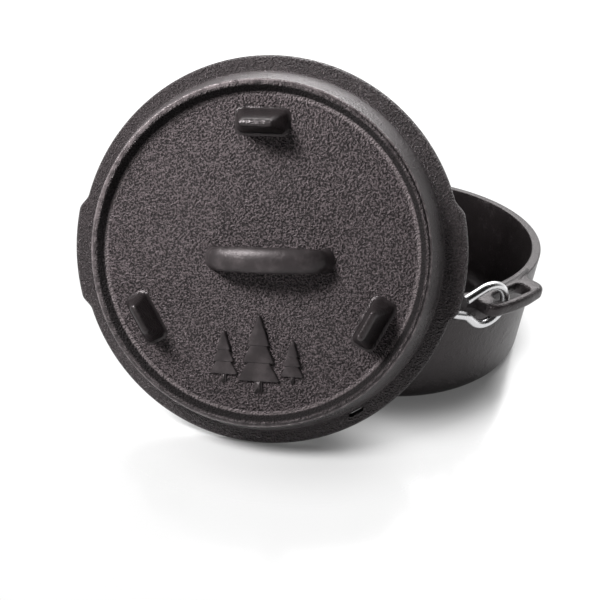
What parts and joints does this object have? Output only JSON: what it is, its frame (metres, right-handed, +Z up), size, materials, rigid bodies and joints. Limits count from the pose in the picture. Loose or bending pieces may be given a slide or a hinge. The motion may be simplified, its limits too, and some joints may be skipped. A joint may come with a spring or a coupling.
{
  "type": "camp dutch oven",
  "caption": "Flat-bottomed cast-iron camp oven with slotted ears, a swinging bent-wire bail, and a footed lid with a coal lip and loop handle that turns over into a griddle.",
  "frame": {"origin": "centre of the pot's flat base, on the table", "axes": "+Z up along the pot's axis; +X along the level line across the leaning lid; -Y towards the viewer and the lid"},
  "size_m": [0.2771, 0.2639, 0.1941],
  "materials": {
    "pot_iron": "seasoned, satin",
    "lid_iron": "seasoned, fine sand-cast grain",
    "bail_wire": "bright plated wire"
  },
  "bodies": {
    "pot": {"pot": "pot_iron"},
    "lid": {"lid": "lid_iron"},
    "bail": {"bail": "bail_wire"}
  },
  "joints": [
    {"name": "bail_swing", "type": "hinge", "parent": "pot", "child": "bail", "pos_m": [0, 0, 0.0706], "axis": [-0.5422, 0.8403, 0], "range_deg": [0, 120]},
    {"name": "lid_tip", "type": "hinge", "parent": "pot", "child": "lid", "pos_m": [-0.0653, -0.16842, 0.0105], "axis": [1, 0, 0], "range_deg": [0, 114.1]}
  ]
}
